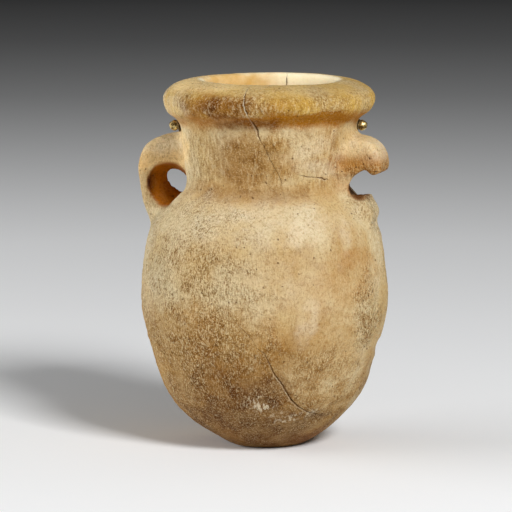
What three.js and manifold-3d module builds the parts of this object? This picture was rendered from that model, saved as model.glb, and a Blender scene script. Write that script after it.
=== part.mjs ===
// Two-handled stone vase with a rolled rim, one handle broken away, and a bronze stud under the rim on each side.
// The vessel is one carved block. Millimetres, +Z up, origin at the middle of the flat spot that it stands on.
// The handles lie along X: the whole one at -X, the broken one at +X.
import * as THREE from "three";
import { mergeVertices } from "three/addons/utils/BufferGeometryUtils.js";
import Module from "manifold-3d";

const wasm = await Module();
wasm.setup();

// Body of the vessel, from the flat spot under it up to the waist of the neck
const bodyHeight = 91;
const bellyRadius = 42.5;
const footRadius = 14.5;
const waistRadius = 28.1;

// Neck from the waist up to the cove under the rim, and the rolled rim above the cove
const neckLength = 21.2;
const neckFlare = 2.7;
const rimDepth = 13.9;
const rimOverhang = 5.7;
const rimLean = 1.75;

// Hollow: the bore of the neck, its flare and edge at the mouth, and the stone left round the belly and the floor
const boreRadius = 21.5;
const mouthFlare = 0.7;
const mouthEdge = 1;
const bellyWall = 13.5;
const floorThickness = 12;

// Lug handles: how far they stand off the waist, above it and below it, with rounded edges across their width
const handleStandoff = 16.6;
const handleAboveWaist = 16;
const handleBelowWaist = 16.5;
const handleWidth = 15;
const handleEdgeRound = 2.6;
const brokenStandoff = 13.7;
const brokenRise = 0.5;

// Cord holes: each is drilled from both faces of its handle, so it narrows to a throat in the middle
const cordHoleRadius = 3.9;
const cordHoleBite = 0.3;
const cordHoleDrop = 0.9;
const cordMouthRadius = 7.2;
const cordMouthOut = 1.9;
const cordMouthDrop = 0.9;
const brokenHoleRadius = 4.4;
const brokenHoleClear = 0.9;
const brokenHoleRise = 0.4;
const brokenMouthRadius = 6.6;

// Ball-headed studs, each through a drilled hole in the neck, with a washer outside and a rove inside. They are
// turned off the line of the handles, the left one towards the front
const studTurn = THREE.MathUtils.degToRad(15);
const ballRadius = 1.6;
const shankRadius = 0.9;
const washerRadius = 2.2;
const washerThickness = 0.7;
const roveRadius = 2;
const roveThickness = 0.8;
const peenRadius = 1.6;
const peenLength = 0.8;
const fitGap = 0.3;

// How far a cutter runs past what it cuts, and how close two corners are one
const overrun = 3;
const mergeDistance = 0.0001;

// Turns of the body's outline from the heel to the collar: shares of the belly's radius and of the body's height
const bodyShares = [
  [0.548, 0.066],
  [0.787, 0.187],
  [0.914, 0.352],
  [1, 0.527],
  [0.985, 0.692],
  [0.923, 0.835],
  [0.753, 0.943],
];

// Where the neck's side turns, up its length and out from the waist to the cove
const neckTurnUpShare = 0.57;
const neckTurnOutShare = 0.45;

// The rim's under edge and its widest line: shares of the rim's depth, and of its overhang
const rimUnderUpShare = 0.25;
const rimUnderOutShare = 0.7;
const rimWidestShare = 0.514;
const mouthUpShare = 0.8;

// The hollow: shares of its widest radius, and of the height from the floor to the waist
const hollowShares = [
  [0.914, 0.76],
  [1, 0.48],
  [0.81, 0.177],
  [0.38, 0.019],
];
const boreTopShare = 0.8;

// Where the lean of the neck starts, up the body
const leanStartShare = 0.725;

// Points of the handle outline from the top root to the foot: shares of its reach from the root and of its height
const handleShares = [
  [0.26, 1],
  [0.56, 0.98],
  [0.81, 0.91],
  [0.95, 0.8],
  [1, 0.65],
  [0.98, 0.5],
  [0.93, 0.35],
  [0.87, 0.21],
  [0.8, 0.09],
  [0.69, 0],
];
const handleFootInnerShare = 0.27;

// How deep the handles are rooted in the neck's wall, and the most that their edge rounds take of their reach
const rootDepthShare = 0.47;
const edgeRoundShare = 0.155;

// Points of the break in the other handle: the same shares of the same box, from the stub round to the scar
const breakShares = [
  [0.5, 0.64],
  [0.62, 0.6],
  [0.76, 0.56],
  [0.9, 0.6],
  [0.97, 0.64],
  [1.4, 0.56],
  [1.4, -0.1],
  [0.9, -0.1],
  [0.86, 0.17],
  [0.8, 0.23],
  [0.7, 0.3],
  [0.66, 0.35],
  [0.58, 0.37],
  [0.46, 0.37],
];

// Fineness of the round and curved faces
const roundSegments = 60;
const outlineDivisions = 2;
const handleDivisions = 1;
const edgeSegments = 3;
const holeSegments = 20;
const studSegments = 16;

// Heights and radii that follow from the sizes above
const coveRadius = waistRadius + neckFlare;
const coveHeight = bodyHeight + neckLength;
const crownHeight = coveHeight + rimDepth;
const rimRadius = coveRadius + rimOverhang;
const rimHeight = coveHeight + rimWidestShare * rimDepth;
const mouthRadius = boreRadius + mouthFlare;
const mouthHeight = coveHeight + mouthUpShare * rimDepth;
const crownRadius = mouthRadius + mouthEdge;
const hollowRadius = bellyRadius - bellyWall;
const leanStartHeight = leanStartShare * bodyHeight;
const handleRootRadius = waistRadius - rootDepthShare * (waistRadius - boreRadius);
const handleTopHeight = bodyHeight + handleAboveWaist;
const handleFootHeight = bodyHeight - handleBelowWaist;
const studHeight = handleTopHeight + brokenRise + fitGap + washerRadius;

const alabaster = new THREE.MeshStandardMaterial({ color: 0xd9bd8c, roughness: 0.55, metalness: 0 });
const giltBronze = new THREE.MeshStandardMaterial({ color: 0xa8925a, roughness: 0.35, metalness: 1 });
const darkBronze = new THREE.MeshStandardMaterial({ color: 0x4a3a20, roughness: 0.6, metalness: 1 });

// A point of an outline: a distance out from the axis and a height
function at(out, height) {
  return new THREE.Vector2(out, height);
}

// How far the axis of the neck stands towards +X at a height
function leanAt(height) {
  const risen = Math.max(0, height - leanStartHeight);
  return rimLean * risen / (crownHeight - leanStartHeight);
}

// Moves each vertex of a geometry with the lean of the neck
function lean(geometry) {
  const position = geometry.getAttribute("position");
  for (let i = 0; i < position.count; i += 1) {
    position.setX(i, position.getX(i) + leanAt(position.getZ(i)));
  }
  return geometry;
}

// A closed geometry as a solid that can be joined and cut
function toSolid(geometry) {
  geometry.deleteAttribute("normal");
  geometry.deleteAttribute("uv");
  const merged = mergeVertices(geometry, mergeDistance);
  return new wasm.Manifold(new wasm.Mesh({
    numProp: 3,
    vertProperties: merged.getAttribute("position").array,
    triVerts: new Uint32Array(merged.getIndex().array),
  }));
}

// A solid back as a named mesh
function toMesh(name, solid, material) {
  const { vertProperties, triVerts } = solid.getMesh();
  const geometry = new THREE.BufferGeometry();
  geometry.setAttribute("position", new THREE.BufferAttribute(vertProperties, 3));
  geometry.setIndex(new THREE.BufferAttribute(triVerts, 1));
  geometry.computeVertexNormals();
  const mesh = new THREE.Mesh(geometry, material);
  mesh.name = name;
  return mesh;
}

// A profile turned about the Z axis
function turned(points, segments) {
  return new THREE.LatheGeometry(points, segments).rotateX(Math.PI / 2);
}

// A place a share of the way from one size to another
function between(from, to, share) {
  return from + share * (to - from);
}

// Outer outline of the vessel, from the axis at the foot to the top of the rim
function outerOutline() {
  const outline = new THREE.Path();
  outline.moveTo(0, 0);
  outline.lineTo(footRadius, 0);
  outline.splineThru([
    ...bodyShares.map(([outShare, upShare]) => at(outShare * bellyRadius, upShare * bodyHeight)),
    at(waistRadius, bodyHeight),
    at(between(waistRadius, coveRadius, neckTurnOutShare), between(bodyHeight, coveHeight, neckTurnUpShare)),
    at(coveRadius, coveHeight),
    at(between(coveRadius, rimRadius, rimUnderOutShare), between(coveHeight, crownHeight, rimUnderUpShare)),
    at(rimRadius, rimHeight),
  ]);
  outline.absellipse(
    crownRadius, rimHeight, rimRadius - crownRadius, crownHeight - rimHeight, 0, Math.PI / 2, false,
  );
  return outline;
}

// Inner outline of the vessel, from the top of the rim down to the axis at the floor
function innerOutline() {
  const outline = new THREE.Path();
  outline.moveTo(crownRadius, crownHeight);
  outline.absellipse(
    crownRadius, mouthHeight, crownRadius - mouthRadius, crownHeight - mouthHeight, Math.PI / 2, Math.PI, false,
  );
  outline.splineThru([
    at(boreRadius, between(bodyHeight, coveHeight, boreTopShare)),
    at(boreRadius, bodyHeight),
    ...hollowShares.map(([outShare, upShare]) => (
      at(outShare * hollowRadius, between(floorThickness, bodyHeight, upShare))
    )),
    at(0, floorThickness),
  ]);
  return outline;
}

// Radius of an outline at a height, read off its straight steps
function radiusAt(outline, height) {
  const points = outline.getPoints(outlineDivisions);
  for (let i = 1; i < points.length; i += 1) {
    const [a, b] = [points[i - 1], points[i]];
    if ((a.y - height) * (b.y - height) <= 0 && a.y !== b.y) {
      return a.x + (b.x - a.x) * (height - a.y) / (b.y - a.y);
    }
  }
  throw new Error("the outline doesn't reach this height");
}

// The turned vessel with its hollow, before handles and holes
function turnedVessel() {
  const outer = outerOutline().getPoints(outlineDivisions);
  const inner = innerOutline().getPoints(outlineDivisions);
  const profile = [...outer, ...inner.slice(1)];
  profile[0].x = 0;
  profile[profile.length - 1].x = 0;
  return toSolid(lean(turned(profile, roundSegments)));
}

// An outline in the plane of the handles, thickened across their width with rounded edges
function slab(points, width, edgeRound) {
  const geometry = new THREE.ExtrudeGeometry(new THREE.Shape(points), {
    depth: width - 2 * edgeRound,
    bevelEnabled: edgeRound > 0,
    bevelThickness: edgeRound,
    bevelSize: edgeRound,
    bevelOffset: -edgeRound,
    bevelSegments: edgeSegments,
    steps: 1,
    curveSegments: 1,
  });
  return geometry.translate(0, 0, edgeRound - width / 2).rotateX(Math.PI / 2);
}

// A place in the handle's box, from shares of its reach and its height
function handlePoint([outShare, upShare], side, standoff, rise) {
  const out = between(handleRootRadius, waistRadius + standoff, outShare);
  const height = between(handleFootHeight, handleTopHeight, upShare) + rise;
  return at(side * out, height);
}

// One lug handle on its side of the neck, its root sunk in the wall
function handle(side, standoff, rise) {
  const curve = new THREE.SplineCurve(handleShares.map((share) => handlePoint(share, side, standoff, rise)));
  const points = [
    handlePoint([0, 1], side, standoff, rise),
    ...curve.getPoints(handleDivisions * handleShares.length),
    handlePoint([handleFootInnerShare, 0], side, standoff, rise),
  ];
  const reach = waistRadius + standoff - handleRootRadius;
  const edgeRound = Math.min(handleEdgeRound, edgeRoundShare * reach);
  return toSolid(lean(slab(points, handleWidth, edgeRound)));
}

// A hole across a handle that widens from its throat to both faces
function hourglassHole(throat, throatRadius, mouth, mouthRadius) {
  const reach = handleWidth / 2;
  const flare = (mouthRadius - throatRadius) / reach;
  const end = reach + overrun;
  const endRadius = mouthRadius + flare * overrun;
  const profile = [at(0, -end), at(endRadius, -end), at(throatRadius, 0), at(endRadius, end), at(0, end)];
  const geometry = new THREE.LatheGeometry(profile, holeSegments);
  const position = geometry.getAttribute("position");
  for (let i = 0; i < position.count; i += 1) {
    const across = Math.abs(position.getY(i)) / reach;
    position.setX(i, position.getX(i) + throat.x + across * (mouth.x - throat.x));
    position.setZ(i, position.getZ(i) + throat.y + across * (mouth.y - throat.y));
  }
  return toSolid(lean(geometry));
}

// What is missing of the broken handle
function breakCutter(side, standoff, rise) {
  const points = breakShares.map((share) => handlePoint(share, side, standoff, rise));
  return toSolid(lean(slab(points, handleWidth + 2 * overrun, 0)));
}

// A round bar along the line of the studs on one side, at their height
function studBar(side, radius, from, to) {
  const geometry = new THREE.CylinderGeometry(radius, radius, to - from, studSegments);
  geometry.rotateZ(Math.PI / 2);
  geometry.translate(side * (from + to) / 2, 0, studHeight);
  geometry.rotateZ(studTurn);
  geometry.translate(leanAt(studHeight), 0, 0);
  return toSolid(geometry);
}

const neckOutside = radiusAt(outerOutline(), studHeight);
const neckInside = radiusAt(innerOutline(), studHeight);
const holeRadius = shankRadius + fitGap;

// The carved block: vessel and handles, less the cord holes, the break and the stud holes
function vesselSolid() {
  const cordOut = waistRadius + cordHoleRadius - cordHoleBite;
  const cordHeight = bodyHeight - cordHoleDrop;
  const throat = at(-cordOut, cordHeight);
  const mouth = at(-cordOut - cordMouthOut, cordHeight - cordMouthDrop);
  const brokenCentre = at(waistRadius + brokenHoleRadius + brokenHoleClear, bodyHeight + brokenHoleRise);
  let solid = turnedVessel();
  solid = solid.add(handle(-1, handleStandoff, 0));
  solid = solid.add(handle(1, brokenStandoff, brokenRise));
  solid = solid.subtract(hourglassHole(throat, cordHoleRadius, mouth, cordMouthRadius));
  solid = solid.subtract(hourglassHole(brokenCentre, brokenHoleRadius, brokenCentre, brokenMouthRadius));
  solid = solid.subtract(breakCutter(1, brokenStandoff, brokenRise));
  for (const side of [-1, 1]) {
    solid = solid.subtract(studBar(side, holeRadius, neckInside - overrun, neckOutside + overrun));
  }
  return solid;
}

// A ring that follows an outline about the stud's height, from one distance off it to another
function followingRing(outline, near, far, halfHeight) {
  const heights = [studHeight - halfHeight, studHeight, studHeight + halfHeight];
  const low = heights.map((height) => at(radiusAt(outline, height) + near, height));
  const high = heights.map((height) => at(radiusAt(outline, height) + far, height));
  const profile = [...high, ...low.reverse(), high[0].clone()];
  return toSolid(lean(turned(profile, roundSegments)));
}

// A washer cut from such a ring, with the hole for the shank
function washer(side, outline, near, far, radius) {
  const ring = followingRing(outline, near, far, radius + fitGap);
  const from = neckInside - overrun;
  const to = neckOutside + overrun;
  return ring.intersect(studBar(side, radius, from, to)).subtract(studBar(side, holeRadius, from, to));
}

// The stud turned about its own axis, from the hammered end inside to the ball outside
function studGeometry() {
  const ballFrom = neckOutside + fitGap + washerThickness + fitGap;
  const ballCentre = ballFrom + ballRadius;
  const peenFrom = neckInside - fitGap - roveThickness - fitGap;
  const neckAngle = Math.asin(shankRadius / ballRadius);
  const outline = new THREE.Path();
  outline.moveTo(0, peenFrom - peenLength);
  outline.quadraticCurveTo(peenRadius, peenFrom - peenLength, peenRadius, peenFrom);
  outline.lineTo(shankRadius, peenFrom);
  outline.lineTo(shankRadius, ballCentre - ballRadius * Math.cos(neckAngle));
  outline.absarc(0, ballCentre, ballRadius, neckAngle - Math.PI / 2, Math.PI / 2, false);
  const profile = outline.getPoints(edgeSegments);
  profile[profile.length - 1].x = 0;
  return new THREE.LatheGeometry(profile, studSegments).rotateZ(-Math.PI / 2);
}

function stud(name, side) {
  const mesh = toMesh(name, toSolid(studGeometry()), giltBronze);
  mesh.rotation.z = side > 0 ? studTurn : Math.PI + studTurn;
  mesh.position.set(leanAt(studHeight), 0, studHeight);
  return mesh;
}

const vase = new THREE.Group();
vase.add(toMesh("vase_body", vesselSolid(), alabaster));
for (const [sideName, side] of [["left", -1], ["right", 1]]) {
  const outside = washer(side, outerOutline(), fitGap, fitGap + washerThickness, washerRadius);
  const inside = washer(side, innerOutline(), -fitGap - roveThickness, -fitGap, roveRadius);
  vase.add(stud(`${sideName}_stud`, side));
  vase.add(toMesh(`${sideName}_stud_washer`, outside, darkBronze));
  vase.add(toMesh(`${sideName}_stud_rove`, inside, darkBronze));
}

export default vase;
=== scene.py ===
import math

import bmesh
import bpy
import numpy
from bpy.props import FloatProperty, FloatVectorProperty, PointerProperty
from mathutils import Matrix, Vector, noise
from mathutils.geometry import interpolate_bezier


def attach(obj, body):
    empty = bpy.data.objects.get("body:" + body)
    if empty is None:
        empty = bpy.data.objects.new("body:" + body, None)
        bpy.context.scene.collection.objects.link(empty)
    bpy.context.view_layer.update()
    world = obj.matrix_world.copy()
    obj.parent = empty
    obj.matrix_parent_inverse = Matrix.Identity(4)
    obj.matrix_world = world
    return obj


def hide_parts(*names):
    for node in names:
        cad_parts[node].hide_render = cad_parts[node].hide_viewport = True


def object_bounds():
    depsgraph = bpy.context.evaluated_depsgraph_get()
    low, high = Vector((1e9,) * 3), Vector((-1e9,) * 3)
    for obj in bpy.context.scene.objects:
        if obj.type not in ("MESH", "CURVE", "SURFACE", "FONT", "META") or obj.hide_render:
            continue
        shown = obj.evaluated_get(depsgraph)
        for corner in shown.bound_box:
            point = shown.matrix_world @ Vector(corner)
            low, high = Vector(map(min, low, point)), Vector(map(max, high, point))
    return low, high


bl_info = {
    "name": "Egyptian stone vase",
    "version": (1, 0, 0),
    "blender": (4, 5, 0),
    "location": "3D View > Sidebar > Vase",
    "description": "Models a weathered calcite vase over its packed frame",
    "category": "Add Mesh",
}

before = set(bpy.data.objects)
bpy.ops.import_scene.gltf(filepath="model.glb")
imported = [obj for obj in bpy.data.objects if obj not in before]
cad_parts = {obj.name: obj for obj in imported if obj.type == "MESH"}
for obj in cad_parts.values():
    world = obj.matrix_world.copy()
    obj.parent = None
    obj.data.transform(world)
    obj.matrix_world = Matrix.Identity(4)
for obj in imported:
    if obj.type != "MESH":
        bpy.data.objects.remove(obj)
CAD_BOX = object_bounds()

MM = 0.001
TURN = 2 * math.pi
MERGE = 0.00001

# Turns of the body's outline from heel to collar: shares of the belly's radius and of the body's height
BODY_SHARES = [
    (0.548, 0.066),
    (0.787, 0.187),
    (0.914, 0.352),
    (1, 0.527),
    (0.985, 0.692),
    (0.923, 0.835),
    (0.753, 0.943),
]

# Turn of the neck between its waist and the cove, turns of the rim, and where the mouth rounds over
NECK_TURN = (0.45, 0.57)
RIM_UNDER = (0.7, 0.25)
RIM_WIDEST_SHARE = 0.514
MOUTH_UP_SHARE = 0.8

# The hollow: shares of its widest radius, and of the height from the floor to the waist
HOLLOW_SHARES = [(0.914, 0.76), (1, 0.48), (0.81, 0.177), (0.38, 0.019)]
BORE_TOP_SHARE = 0.8
LEAN_START_SHARE = 0.725

# A handle's outline from its top root to its foot: shares of its reach from the root and of its height
HANDLE_SHARES = [
    (0.26, 1),
    (0.56, 0.98),
    (0.81, 0.91),
    (0.95, 0.8),
    (1, 0.65),
    (0.98, 0.5),
    (0.93, 0.35),
    (0.87, 0.21),
    (0.8, 0.09),
    (0.69, 0),
]
HANDLE_FOOT_INNER_SHARE = 0.27
ROOT_DEPTH_SHARE = 0.47

# Points of the break in the other handle: the same shares of the same box, from the stub round to the scar
BREAK_SHARES = [
    (0.5, 0.6),
    (0.6, 0.65),
    (0.68, 0.665),
    (0.73, 0.64),
    (0.76, 0.615),
    (0.84, 0.605),
    (0.93, 0.62),
    (1, 0.65),
    (1.05, 0.69),
    (1.4, 0.72),
    (1.4, -0.1),
    (0.9, -0.1),
    (0.86, 0.17),
    (0.8, 0.23),
    (0.7, 0.3),
    (0.66, 0.35),
    (0.58, 0.37),
    (0.46, 0.37),
]

# Worn oval throats of the cord holes: shares of their radius along and across the oval, and its slope
LEFT_THROAT_SHARES = (1.14, 0.72)
LEFT_THROAT_SLOPE = math.radians(-41)
RIGHT_THROAT_SHARES = (1.25, 0.7)
RIGHT_THROAT_SLOPE = math.radians(48)

# Cracks: azimuth from the front towards +X in degrees, height and half width in millimetres
FRONT_CRACK = [
    (0.6, 125.4, 0.03),
    (0.6, 123.5, 0.1),
    (1.4, 120.5, 0.12),
    (2.6, 117.5, 0.14),
    (6.1, 113.1, 0.19),
    (8.1, 110.8, 0.24),
    (8.3, 109.3, 0.16),
    (10.6, 107, 0.05),
    (13.1, 104.9, 0.05),
    (14.2, 103.6, 0.08),
    (16.6, 101.2, 0.08),
    (19.7, 98.5, 0.07),
    (22.3, 96.5, 0.07),
    (24.7, 93.8, 0.06),
    (26.2, 89, 0.02),
]
SCRATCHES = [
    [(16.2, 107.4, 0.02), (18.2, 105.9, 0.06), (20.3, 104.3, 0.02)],
    [(15.8, 104, 0.02), (16.8, 103.3, 0.06), (17.8, 102.6, 0.02)],
    [(-52, 43, 0.02), (-49, 37, 0.07), (-45, 31, 0.02)],
    [(-44, 35, 0.02), (-41, 29, 0.06), (-36, 23, 0.02)],
]
SIDE_CRACK = [
    (38.5, 95.6, 0.02),
    (40.3, 95.4, 0.09),
    (45.3, 94.9, 0.1),
    (50, 94.7, 0.07),
    (55.4, 94.3, 0.16),
    (59, 93.6, 0.19),
    (61.1, 93.7, 0.09),
    (63, 93.2, 0.02),
]
LOWER_CRACK = [
    (-1.5, 50.5, 0.01),
    (3.4, 46.5, 0.04),
    (7.6, 43.4, 0.06),
    (9.8, 41.5, 0.03),
    (11.2, 39, 0.06),
    (14.9, 37.1, 0.1),
    (16.2, 35, 0.1),
    (19.4, 30.3, 0.13),
    (21.4, 28.4, 0.17),
    (24.5, 25.6, 0.15),
    (27.3, 22.5, 0.15),
    (29.8, 20.2, 0.19),
    (34.1, 17.8, 0.16),
    (43.4, 14.7, 0.12),
    (54, 12.8, 0.07),
    (65.4, 11.9, 0.02),
]
BACK_CRACK = [
    (171, 96, 0.02),
    (174, 103, 0.1),
    (177, 109, 0.14),
    (178, 114, 0.15),
    (178.4, 119, 0.14),
    (179, 124.4, 0.12),
]
MOUTH_CRACK = [
    (179, 124.4, 0.12),
    (179, 122.4, 0.16),
    (179.2, 120.6, 0.16),
    (180, 115, 0.11),
    (181, 108, 0.02),
]

# Patches of each mask on the outside, in degrees and millimetres: azimuth and height of the middle,
# half width, half height, tilt to the right, and strength
PATCHES = {
    # Painted glow: amber under the rim, round the broken handle's notch and stub, and in two patches on the
    # back, standing in for light through thin stone
    "painted_amber_glow": [
        (50, 114.2, 30, 3, 0, 1),
        (12, 114.2, 12, 2.4, 0, 0.9),
        (-20, 114.2, 12, 2.2, 0, 0.65),
        (-66, 113.5, 12, 2, 0, 0.5),
        (72, 96, 8, 5, 0, 0.35),
        (90, 95.6, 10, 2.8, 0, 0.7),
        (82, 98.5, 12, 3.5, 0, 0.6),
        (-80, 101, 5, 4, 0, 0.15),
        (84, 91.5, 6, 5, 0, 0.4),
        (150, 60, 20, 16, 0, 0.3),
        (-130, 70, 18, 14, 0, 0.3),
    ],
    # Yellow stain and painted shade, over the lower body, in the waist and under the rim
    "ochre_and_shade": [
        (-22, 34, 50, 19, 0, 1),
        (0, 10, 60, 20, 0, 1),
        (-60, 30, 30, 20, 0, 1),
        (44, 38, 22, 16, 0, 0.75),
        (8, 101, 15, 10, 0, 1),
        (57, 105, 10, 9, 0, 0.5),
        (4, 89.5, 30, 4, 0, 0.7),
        (-30, 113.5, 30, 3, 0, 0.6),
        (-12, 119, 16, 4, 0, 1),
        (57, 63, 12, 15, 0, 0.7),
        (24, 62, 22, 14, 0, 0.4),
        (-14, 66, 18, 10, 0, 0.3),
        (40, 105, 26, 9, 0, 0.35),
        (-88, 90, 12, 9, 0, 0.6),
        (-84, 100, 7, 3, 15, 0.35),
        (90, 99, 14, 4, 0, 0.45),
        (160, 26, 60, 24, 0, 0.8),
        (180, 101, 40, 10, 0, 0.6),
        (-140, 60, 20, 14, 10, 0.5),
    ],
    # Earth and painted shade, darker towards the foot; painted shade also in the waist, under the rim and in
    # the notch under the broken handle
    "soil_and_shade": [
        (-8, 2, 38, 24, -8, 0.9),
        (-50, 28, 30, 18, 0, 0.15),
        (-20, 20, 40, 14, -14, 0.5),
        (-8, 40, 14, 8, 0, 0.2),
        (4, 15, 19, 9, -18, 0.8),
        (10, 22, 14, 8, -10, 1),
        (-16, 25, 16, 8, -35, 0.6),
        (0, 89.6, 22, 2.2, 0, 0.35),
        (-34, 120.5, 9, 3, 0, 0.5),
        (-12, 119.2, 12, 3.8, 0, 0.8),
        (4, 118.5, 7, 2.5, 0, 0.4),
        (2, 112.8, 12, 2, 0, 0.6),
        (-2, 101, 12, 9, 10, 0.4),
        (90, 94.4, 9, 1.2, 0, 0.6),
        (88, 87, 5, 1.6, 0, 0.8),
        (26, 120, 9, 3, 0, 0.3),
        (48, 121, 8, 3, 0, 0.3),
        (-75, 110, 3.4, 3, 0, 0.6),
        (105, 110, 3.4, 3, 0, 0.6),
        (120, 22, 20, 9, 10, 0.6),
        (-150, 24, 34, 22, -5, 0.5),
        (150, 14, 34, 14, 5, 0.6),
        (175, 92, 30, 4, 0, 0.4),
    ],
    # Painted light: brighter patches on the tops of the handles, the rim's top and the right of the foot
    "painted_light": [
        (-85, 102, 15, 8, 0, 1),
        (64, 4, 7, 4, 0, 0.4),
        (-50, 126, 22, 3, 0, 0.6),
        (90, 103, 10, 5, 0, 0.5),
    ],
    # White bloom of weathered stone, with painted highlights on the tops of both handles
    "bloom_and_highlight": [
        (5, 80, 36, 8, 0, 0.38),
        (24, 60, 20, 14, 0, 0.15),
        (-2, 81.5, 9, 4.5, 0, 0.6),
        (-28, 82, 13, 5, 10, 0.3),
        (31, 78, 3.4, 7, 8, 0.5),
        (24, 80, 3, 6, -8, 0.35),
        (59, 77, 2.4, 7, 14, 0.45),
        (88, 103, 10, 4, 0, 0.5),
        (-84, 104, 8, 4, 0, 0.5),
        (44, 79, 5, 2, 0, 0.3),
        (34, 48, 4, 8, 10, 0.4),
        (26, 58, 4, 7, 0, 0.25),
        (-60, 72, 6, 7, 0, 0.4),
        (-55, 55, 9, 9, 0, 0.3),
        (52, 97.5, 9, 3, 10, 0.4),
        (44, 104, 10, 3, -20, 0.3),
        (-60, 119, 12, 4, 0, 0.4),
        (110, 74, 14, 6, 0, 0.4),
        (160, 80, 16, 5, 0, 0.4),
        (-110, 50, 14, 16, 0, 0.3),
        (-165, 58, 14, 12, 0, 0.35),
    ],
    "chips": [
        (12.5, 18, 4.4, 2.2, 20, 1),
        (8, 20.5, 3, 1.4, -30, 0.8),
        (20, 15, 4, 1, -10, 0.6),
        (36, 13.5, 8, 1.4, -12, 0.8),
    ],
    "rust": [
        (93, 99, 12, 5, 0, 0.75),
        (64, 4, 7, 4, 0, 0.6),
        (-36, 72, 8, 6, 0, 0.2),
        (60, 68, 5, 4, 0, 0.5),
        (72, 60, 8, 9, 0, 0.4),
        (48, 60, 10, 6, 0, 0.2),
        (-70, 104, 7, 3, 0, 0.3),
        (72, 98, 6, 3, 0, 0.4),
        (20, 118, 6, 4, 0, 0.4),
        (-100, 36, 12, 14, 0, 0.5),
        (140, 40, 14, 12, 0, 0.5),
    ],
    "rough": [
        (-45, 52, 44, 38, 0, 1),
        (-40, 18, 40, 16, 0, 0.65),
        (-40, 101, 18, 11, 0, 0.7),
        (45, 22, 34, 16, 0, 0.6),
        (72, 48, 9, 14, 0, 1),
        (50, 12, 12, 4, -18, 0.8),
        (78, 84, 6, 6, 0, 0.6),
        (92, 80, 8, 9, 0, 1),
        (90, 96, 9, 4, 0, 0.9),
        (-88, 96, 18, 20, 0, 0.35),
        (20, 101, 40, 12, 0, 0.5),
        (-30, 80, 30, 7, 0, 0.7),
        (100, 66, 7, 16, 0, 0.8),
        (-158, 40, 34, 30, 0, 0.8),
        (150, 30, 20, 20, 0, 0.7),
    ],
}

# Stains of the inside, listed the same way
INNER_STAINS = [
    (-122, 122, 17, 8, 0, 1),
    (-165, 120, 10, 2, 0, 0.3),
    (60, 100, 30, 12, 0, 0.4),
]

# Hollows of the outside, listed the same way but with a depth in millimetres at the end
DENTS = [
    (106, 69, 9, 15, 0, 0.5),
    (100, 34, 6, 3, 0, 0.7),
    (98, 27, 5, 2.5, 0, 0.5),
    (96, 44, 4, 3, 0, 0.5),
    (0.5, 120, 2.4, 4, 0, 0.35),
    (60, 14, 9, 3, -20, 0.5),
    (-95, 62, 3, 5, 0, 0.3),
    (12.5, 17.8, 5, 3, 25, 0.35),
    (20, 108.5, 5, 2, -15, 0.25),
    (-150, 45, 8, 6, 0, 0.5),
    (150, 118, 7, 3, 0, 0.6),
    (-120, 120, 5, 3, 0, 0.5),
]

# Where a patch fades out and where it is full, as shares of its half width, and how ragged its edge is
PATCH_EDGE_SHARES = (1.45, 0.55)
PATCH_RAGGED_SHARE = 0.35

# The same for the painted shade and glow of a cord hole, and how far from the middle plane it may reach
HOLE_EDGE_SHARES = (1.05, 0.8)
HOLE_REACH_SHARE = 2

# The heel is worn away on its left, and up to a height it has no dents
HEEL_WEAR = 0.12
HEEL_WEAR_START = 4 * MM
HEEL_HEIGHT = 9 * MM

# The rim's under edge sits lower on the left and higher on the right, but level again where the right ends
RIM_UNDER_TILT = 0.033
RIM_UNDER_END = (34 * MM, 28 * MM)

# Share of the wall that counts as inside, below and above a rise over the waist, and that rise
INSIDE_SHARES = (0.2, 0.5)
INSIDE_RISE = (5 * MM, 13 * MM)

# Where the broken cord hole still has its wall: over and under the waist, and out from the axis
BREAK_TOP = (MM, -1.5 * MM)
BREAK_SIDE = (37 * MM, 33 * MM)

# Where the tool marks turn upright: up from the shoulder, and in from the handles
NECK_MARKS = (84 * MM, 94 * MM)
NECK_SIDES = (28 * MM, 33 * MM)

# The walls of the cord holes with the darkest painted shade: the outer one of the left hole, the inner one of
# the right hole
OUTER_WALL = (-41.5 * MM, -36.5 * MM)
BROKEN_WALL = (25 * MM, 28 * MM)

# The floor's tone at distances from the vase, in metres
FLOOR_REACH = 2.4
FLOOR_TONES = [
    (0, "#f5f5f5"),
    (0.165, "#fcfcfc"),
    (0.29, "#fdfdfd"),
    (0.52, "#fbfbfb"),
    (0.67, "#f1f1f1"),
    (0.94, "#dadada"),
    (1.29, "#b7b7b7"),
    (1.79, "#909090"),
    (2.22, "#757575"),
    (2.4, "#606060"),
]

# Kinds of node that the finishes use most, and settings that their nodes share
NOISE = "ShaderNodeTexNoise"
STEP = "ShaderNodeMapRange"
MATHS = "ShaderNodeMath"
MIX = "ShaderNodeMix"
MAPPING = "ShaderNodeMapping"
TIMES = {"operation": "MULTIPLY"}
OVER = {"operation": "DIVIDE"}
PLUS = {"operation": "ADD"}
TIMES_PLUS = {"operation": "MULTIPLY_ADD"}
HIGHER = {"operation": "MAXIMUM"}
SIZE_OF = {"operation": "ABSOLUTE"}
SMOOTH = {"interpolation_type": "SMOOTHSTEP"}
TINT = {"data_type": "RGBA"}
DARKEN = {"data_type": "RGBA", "blend_type": "MULTIPLY"}

# Slope of the tool marks on the body
SLANT = math.radians(18)

# Unevenness left by carving and burial: size and depth of the waves in millimetres, and shift of the noise
WEATHER_LAYERS = [(30, 0.32, 7), (11, 0.16, 8), (4, 0.08, 9), (1.9, 0.05, 10)]
ROUGH_LAYER = (2.4, 0.3, 17)

# Raggedness of patches: size of the waves in millimetres, their strength, and shift of the noise
RAGGED_LAYERS = [(5, 1, 3), (2, 0.5, 5)]
NOISE_SHIFTS = (1, 2.7, -1.3)

# Steps along each turn of the vessel's outline where a place is read off it
OUTLINE_STEPS = 8

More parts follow.
